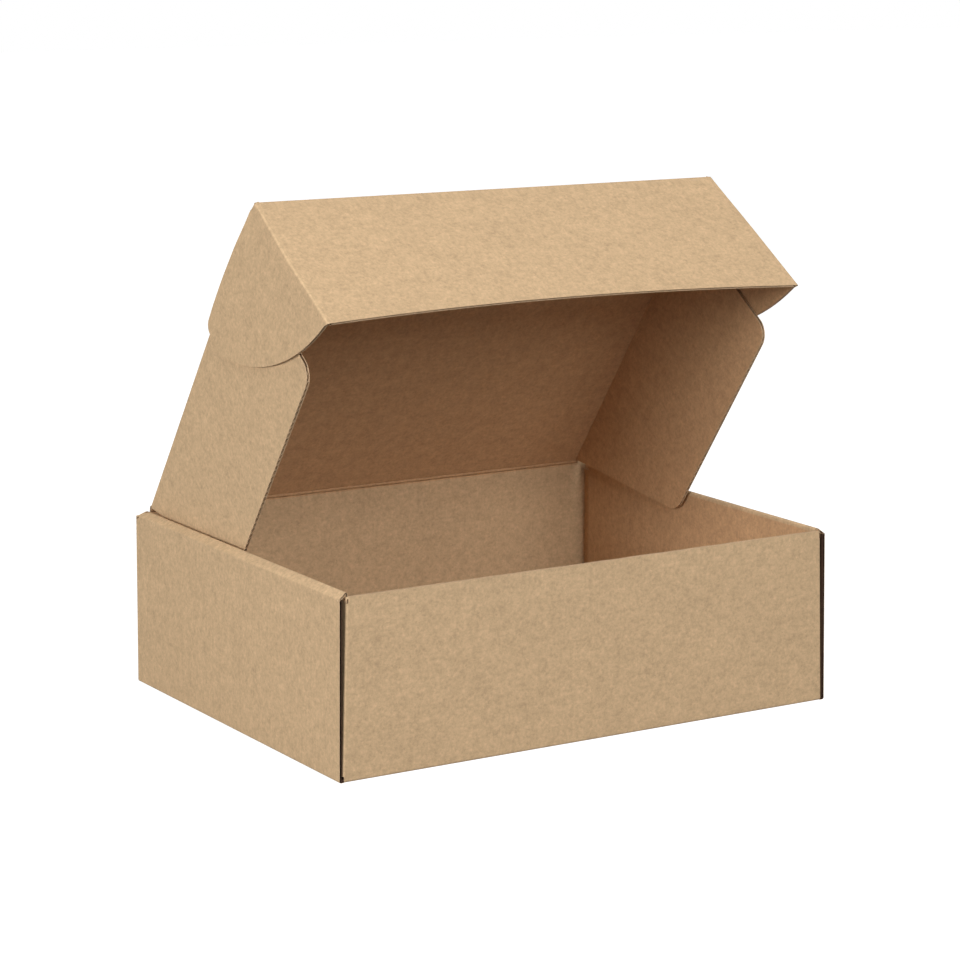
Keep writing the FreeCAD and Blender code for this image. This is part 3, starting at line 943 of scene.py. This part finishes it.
class MAILER_OT_wings(bpy.types.Operator):
    """Make the two wings that hang from the lid's sides"""
    bl_idname = "mailer.wings"
    bl_label = "Wings"

    def execute(self, context):
        board, size = measures(context)
        on_lid, _, _, below, _, _ = lid_frame(context)
        half, length, radius = size.half_width, size.wing_length, size.wing_corner
        first = -board.thickness / 2 + board.fold + board.press
        across = 26
        ns = spans([first, length - radius], board.mesh_step)
        ns += [length - radius + radius * math.sin(deg(90) * k / 12) for k in range(1, 13)]

        def cut_in(n, round_off):
            k = max(n - (length - round_off), 0) / round_off
            return round_off * (1 - math.sqrt(max(1 - k * k, 0)))

        for side, name in ((-1, "left_wing"), (1, "right_wing")):
            sheet = Sheet()
            rows = []
            for n in ns:
                share = (n - first) / (length - first)
                s_low = size.wing_top + (size.wing_rear - size.wing_top) * share
                s_low += cut_in(n, radius / 2) * 1.4
                s_high = size.wing_front - cut_in(n, radius)
                row = []
                for j in range(across + 1):
                    s = s_low + (s_high - s_low) * j / across
                    row.append((on_lid(half * side, s, n), (side, 0, 0),
                                ((half + n) * side, BLANK_LID + s)))
                rows.append(row)
            sheet.patch(rows)
            start = on_lid(0, 0, first)

            def joins(p):
                return abs((p - start).dot(below)) < 0.01
            piece = sheet.solid(name + "_board", board, joins)
            finish_piece(piece, name, name)
            flutes = make_flutes(name + "_flutes", board, *sheet.flute_edge(board, joins))
            finish_piece(flutes, name, name)
        return {"FINISHED"}


def tuck_drops(foot):
    """Stations down the tuck flap, from the crease's foot to a free edge."""
    crushed, count = 0.9, 14
    flat = foot - crushed
    return [TUCK_START + (flat - TUCK_START) * i / count for i in range(count + 1)] + [foot]


def tuck_half(size, side, drop):
    """Half the tuck flap's width on one side, up to where its ear folds back."""
    lean = size.tuck_lean
    s = size.reach + drop * math.sin(lean)
    return size.half_width + EAR_OFF - corner_in(size, side, s, drop * math.cos(lean))


class MAILER_OT_tuck_flap(bpy.types.Operator):
    """Make the tuck flap at the lid's front"""
    bl_idname = "mailer.tuck_flap"
    bl_label = "Tuck flap"

    def execute(self, context):
        board, size = measures(context)
        face = -board.thickness / 2
        inset = board.fold + board.press
        _, on_tuck, _, _, down, back = lid_frame(context)
        crushed = 0.72
        sheet = Sheet()
        columns = []
        for q in [k / 20 - 1 for k in range(41)]:
            column = []
            drops = tuck_drops(size.tuck_length - size.tuck_arch * (1 - q * q))
            for drop in drops:
                x = q * (tuck_half(size, math.copysign(1, q), drop) - inset)
                column.append((on_tuck(x, drop, face), -back,
                               (x, BLANK_LID + size.reach + drop),
                               crushed if drop == drops[-1] else 1.0))
            columns.append(column)
        sheet.patch(columns)
        origin = on_tuck(0, TUCK_START, 0)

        def joins(p):
            drop = (p - origin).dot(down) + TUCK_START
            edge = tuck_half(size, math.copysign(1, p.x), drop) - inset
            return drop < TUCK_START + 0.01 or abs(abs(p.x) - edge) < 0.02
        piece = sheet.solid("tuck_flap_board", board, joins)
        finish_piece(piece, "tuck", "tuck_flap")
        return {"FINISHED"}


class MAILER_OT_ears(bpy.types.Operator):
    """Fold the ears back from the tuck flap's ends, outside the wings"""
    bl_idname = "mailer.ears"
    bl_label = "Ears"

    def execute(self, context):
        board, size = measures(context)
        face = -board.thickness / 2
        radius = board.fold
        on_lid, on_tuck, _, _, _, back = lid_frame(context)
        length, reach, sweep, lean = (size.tuck_length, size.reach, size.ear_sweep,
                                      size.tuck_lean)
        rear = reach - face - size.ear_depth
        foot = Vector((reach + length * math.sin(lean), length * math.cos(lean) - 1.0))
        heel = Vector((rear, size.ear_heel))
        chord = foot - heel
        across = Vector((chord.y, -chord.x)).normalized()
        centre = (heel + foot) / 2 + across * math.sqrt(sweep ** 2 - chord.length ** 2 / 4)
        # radius of the rear top corner, where the ear starts below the crease, how far
        # in the flat blank's fold starts and the share of the depth that the start eases in
        corner, first_drop, blank_fold, ease_in = 4.5, 0.25, 119.0, 0.05

        def low_edge(s):
            return centre.y + math.sqrt(max(sweep ** 2 - (s - centre.x) ** 2, 0))

        def top_edge(s):
            """The top edge bows above the lid's face, and dips again at its rear."""
            climb = share_of((reach - 12 - s) / 38)
            fall = share_of((rear + 13 - s) / 13)
            return face - size.ear_rise * (eased(climb) - 0.4 * fall)

        for side, name in ((-1, "left_ear"), (1, "right_ear")):
            sheet = Sheet()
            rows = []
            drops = [first_drop] + tuck_drops(length)
            count = len(drops) - 1

            def column(points, outward, offset, share):
                rows.append([(p, outward, (offset * side, BLANK_LID + reach + v), share)
                             for p, v in points])

            # flat start on the tuck flap, then the fold
            steps = [(-board.press, 0.0, 90.0, 1.0)]
            steps += [(radius * math.sin(deg(15 * k)), radius * (1 - math.cos(deg(15 * k))),
                       90.0 - 15 * k, board.pressed) for k in range(7)]
            for dx, m, look, share in steps:
                out = Vector((math.cos(deg(look)) * side, 0, 0)) - back * math.sin(deg(look))
                points = []
                for drop in drops:
                    drop -= 0.4 * m * (drop - first_drop) / (length - first_drop)
                    x = tuck_half(size, side, drop) - radius + dx
                    points.append((on_tuck(x * side, drop, face + m), drop))
                column(points, out, blank_fold + dx, share)
            first_top = Vector((reach + first_drop * math.sin(lean),
                                first_drop * math.cos(lean)))
            fracs = [0.014, ease_in]
            fracs += [ease_in + (1 - ease_in) * k / 16 for k in range(1, 16)]
            span_s = reach - rear
            fracs += [1 - corner / span_s * (1 - math.sin(deg(11.25 * k)))
                      for k in range(9)]
            fracs = sorted(set(round(f, 5) for f in fracs))
            for f in fracs:
                s_top = first_top.x - 1.0 - (first_top.x - 1.0 - rear) * f
                s_low = foot.x - 1.0 - (foot.x - 1.0 - rear) * f
                ease = min(f / ease_in, 1)
                top = first_top.y * (1 - ease) + top_edge(s_top) * ease
                near = max(1 - (s_top - rear) / corner, 0)
                top += corner * (1 - math.sqrt(max(1 - near * near, 0)))
                low = low_edge(s_low)
                points = []
                for i in range(count + 1):
                    q = i / count
                    s, n = s_top + (s_low - s_top) * q, top + (low - top) * q
                    x = size.half_width + EAR_OFF - corner_in(size, side, s, n)
                    points.append((on_lid(x * side, s, n), n))
                column(points, (side, 0, 0), blank_fold + 1.6 + span_s * f, 1.0)
            sheet.patch(rows)
            edge = [Vector(rows[0][i][0]) for i in range(count + 1)]

            def joins(p):
                return min((p - (u + v) / 2).length for u, v in zip(edge, edge[1:])) < 0.02
            blend = (tuple(on_tuck(0, 20, 2) * MM),
                     tuple(on_tuck(0, 20, size.ear_depth - 8) * MM))
            piece = sheet.solid(name + "_board", board, joins)
            finish_piece(piece, None, name)
            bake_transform(piece)
            flutes = make_flutes(name + "_flutes", board, *sheet.flute_edge(board, joins))
            finish_piece(flutes, None, name)
            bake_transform(flutes)
        return {"FINISHED"}


class MAILER_OT_creases(bpy.types.Operator):
    """Bend the board at the creases that the lid, wings and tuck flap turn on"""
    bl_idname = "mailer.creases"
    bl_label = "Creases"

    def execute(self, context):
        board, size = measures(context)
        face = board.thickness / 2
        radius, press, pressed = board.fold, board.press, board.pressed
        on_lid, on_tuck, along, below, down, _ = lid_frame(context)
        half, reach, step = size.half_width, size.reach, board.mesh_step
        half_y = in_mm(context.scene.mailer_tray).depth / 2

        def strip(name, rows, joins, bodies, start, end):
            sheet = Sheet()
            sheet.patch(rows)
            piece = sheet.solid(name, board, joins)
            finish_piece(piece, None)
            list(bodies)
            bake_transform(piece)

        # rear crease: two scores, from the rear wall's top to the lid
        ends = [on_lid(0, s, -face) for s in (0.5, LID_START)]
        corners = [(-half_y, REAR_LOW), (-half_y, REAR_LOW + 0.9)] + [(-p.y, p.z) for p in ends]
        path = fold_path(corners, (1, 1, 1), 0.8, 0.3, 0.7, 3)
        xs = spans([-half, half], step)
        rows = [[((x, -p.x, p.y), (0, -look.x, look.y), (x, BLANK_LID - 2.5 + length), share)
                 for x in xs] for p, look, share, length in path]
        start, end = Vector((0, half_y - face, REAR_LOW)), on_lid(0, LID_START, 0)
        strip("rear_crease", rows,
              lambda p: abs(p.z - REAR_LOW) < 0.01 or abs((p - end).dot(along)) < 0.01,
              ("tray", "lid"), start, end)

        # front crease: the lid bends down into the tuck flap
        lean = size.tuck_lean
        outer = reach + face / math.cos(lean) - face * math.tan(lean)
        foot = (reach + TUCK_START * math.sin(lean) + face * math.cos(lean),
                face * math.sin(lean) - TUCK_START * math.cos(lean))
        path = fold_path([(reach - TUCK_START, face), (outer, face), foot], (1, 1),
                         radius, press, pressed)
        rows = []
        inset, least_inset, arc_end, widens = radius + press, 0.6, 0.25, 1.2
        for p, look, share, length in path:
            out = along * look.x - below * look.y
            row = []
            for k in range(41):
                q = k / 40 * 2 - 1
                side = math.copysign(1, q)
                on_face = share_of((p.x - outer + radius + widens) / widens)
                lid_x = half - corner_in(size, side, p.x, 0)
                drop = max(-p.y, 0)
                tuck_x = tuck_half(size, side, drop) - max(
                    inset * min(drop / arc_end, 1), least_inset)
                x = q * (lid_x + (tuck_x - lid_x) * on_face)
                blank = x, BLANK_LID + reach - TUCK_START + length
                row.append((on_lid(x, p.x, -p.y), out, blank, share))
            rows.append(row)
        a, b = on_lid(0, reach - TUCK_START, 0), on_tuck(0, TUCK_START, 0)
        strip("front_crease", rows,
              lambda p: abs((p - a).dot(along)) < 0.01 or abs((p - b).dot(down)) < 0.01,
              ("lid", "tuck"), a, b)

        # wing creases
        crease = half - radius - press
        first = radius + press - face
        ss = spans([size.wing_top, size.wing_front], step)
        path = fold_path([(crease - 0.01, face), (half, face), (half, -first)], (1, 1),
                         radius, press, pressed)
        for side, name in ((-1, "left_wing"), (1, "right_wing")):
            rows = []
            for k, (p, look, share, length) in enumerate(path):
                x = crease if k == 0 else p.x
                out = Vector((look.x * side, 0, 0)) - below * look.y
                rows.append([(on_lid(x * side, s, -p.y), out,
                              ((crease + length) * side, BLANK_LID + s), share) for s in ss])
            foot = on_lid(0, 0, first)
            middle = size.wing_front / 2
            strip(name.replace("wing", "wing_crease"), rows,
                  lambda p: abs(abs(p.x) - crease) < 0.01 or abs((p - foot).dot(below)) < 0.01,
                  ("lid", name), on_lid(crease * side, middle, 0),
                  on_lid((half - face) * side, middle, first))
        return {"FINISHED"}


class MAILER_OT_stage(bpy.types.Operator):
    """Set up the white ground, the lamps and the camera"""
    bl_idname = "mailer.stage"
    bl_label = "Stage"

    def execute(self, context):
        scene = context.scene
        settings = scene.mailer_stage
        scene.view_settings.view_transform = "Standard"
        mesh = bpy.data.meshes.new("floor")
        w = settings.floor_half
        mesh.from_pydata([(-w, -w, 0), (w, -w, 0), (w, w, 0), (-w, w, 0)], [], [(0, 1, 2, 3)])
        floor = bpy.data.objects.new("floor", mesh)
        scene.collection.objects.link(floor)

        def seen_directly(tree):
            rays = node(tree, "ShaderNodeLightPath").outputs
            seen = maths(tree, "MAXIMUM", rays["Is Camera Ray"], rays["Is Glossy Ray"])
            return maths(tree, "MAXIMUM", seen, rays["Is Transmission Ray"])

        ground = bpy.data.materials.new("White ground")
        ground.use_nodes = True
        tree = ground.node_tree
        shader = tree.nodes["Principled BSDF"]
        shader.inputs["Base Color"].default_value = (*settings.floor, 1)
        shader.inputs["Roughness"].default_value = 0.9
        glow = maths(tree, "MULTIPLY", seen_directly(tree), settings.backdrop)
        shader.inputs["Emission Color"].default_value = (1, 1, 1, 1)
        tree.links.new(glow, shader.inputs["Emission Strength"])
        floor.data.materials.append(ground)

        world = bpy.data.worlds.new("Studio")
        scene.world = world
        world.use_nodes = True
        tree = world.node_tree
        back = tree.nodes["Background"]
        light = maths(tree, "MULTIPLY_ADD", seen_directly(tree), 1.0 - settings.ambient,
                      settings.ambient)
        tree.links.new(light, back.inputs["Strength"])
        back.inputs["Color"].default_value = (1, 1, 1, 1)

        def lamp(name, place, aim, size, power):
            data = bpy.data.lights.new(name, "AREA")
            data.shape = "RECTANGLE"
            data.size, data.size_y = size
            data.energy = power
            item = bpy.data.objects.new(name, data)
            item.location = place
            item.rotation_euler = (Vector(aim) - Vector(place)).to_track_quat(
                "-Z", "Y").to_euler()
            scene.collection.objects.link(item)

        lamp("overhead softbox", (-0.1, -0.5, 1.6), (0, 0, 0.1), (1.4, 1.2), 12.4)
        lamp("front softbox", (0.0, -1.85, 1.0), (0, 0, 0.1), (1.4, 0.9), 24.0)
        lamp("side softbox", (-1.7, -0.35, 0.5), (0, 0, 0.1), (0.9, 0.5), 20.0)

        # fitted to the photo: focal length in pixels over the photo's width, then place
        camera = bpy.data.cameras.new("camera")
        camera.sensor_width = 36.0
        camera.lens = 2921.59 / 960 * camera.sensor_width
        camera.clip_start = 0.01
        item = bpy.data.objects.new("camera", camera)
        item.location = (-0.67839, -1.10140, 0.34783)
        item.rotation_euler = (deg(90 - 10.94), 0, deg(-31.69))
        scene.collection.objects.link(item)
        scene.camera = item
        return {"FINISHED"}


class MAILER_PT_panel(bpy.types.Panel):
    """Lists the pieces and sizes of the mailer box"""
    bl_label = "Mailer box"
    bl_idname = "MAILER_PT_panel"
    bl_space_type = "VIEW_3D"
    bl_region_type = "UI"
    bl_category = "Mailer box"

    def draw(self, context):
        scene = context.scene
        for piece in PIECES:
            self.layout.operator(piece.bl_idname)
        for name, _ in GROUPS:
            group = getattr(scene, name)
            for prop in type(group).__annotations__:
                self.layout.prop(group, prop)


PIECES = (MAILER_OT_tray, MAILER_OT_lid, MAILER_OT_wings, MAILER_OT_tuck_flap,
          MAILER_OT_ears, MAILER_OT_creases, MAILER_OT_stage)
GROUPS = (("mailer_board", BoardSizes), ("mailer_tray", TraySizes),
          ("mailer_lid", LidSizes), ("mailer_finish", KraftFinish),
          ("mailer_stage", StageSettings))


def register():
    for name, group in GROUPS:
        bpy.utils.register_class(group)
        setattr(bpy.types.Scene, name, PointerProperty(type=group))
    for piece in PIECES:
        bpy.utils.register_class(piece)
    bpy.utils.register_class(MAILER_PT_panel)


def unregister():
    bpy.utils.unregister_class(MAILER_PT_panel)
    for piece in reversed(PIECES):
        bpy.utils.unregister_class(piece)
    for name, group in reversed(GROUPS):
        delattr(bpy.types.Scene, name)
        bpy.utils.unregister_class(group)


def main():
    register()
    bpy.ops.mailer.tray()
    bpy.ops.mailer.lid()
    bpy.ops.mailer.wings()
    bpy.ops.mailer.tuck_flap()
    bpy.ops.mailer.ears()
    bpy.ops.mailer.creases()
    bpy.ops.mailer.stage()


if __name__ == "__main__":
    main()
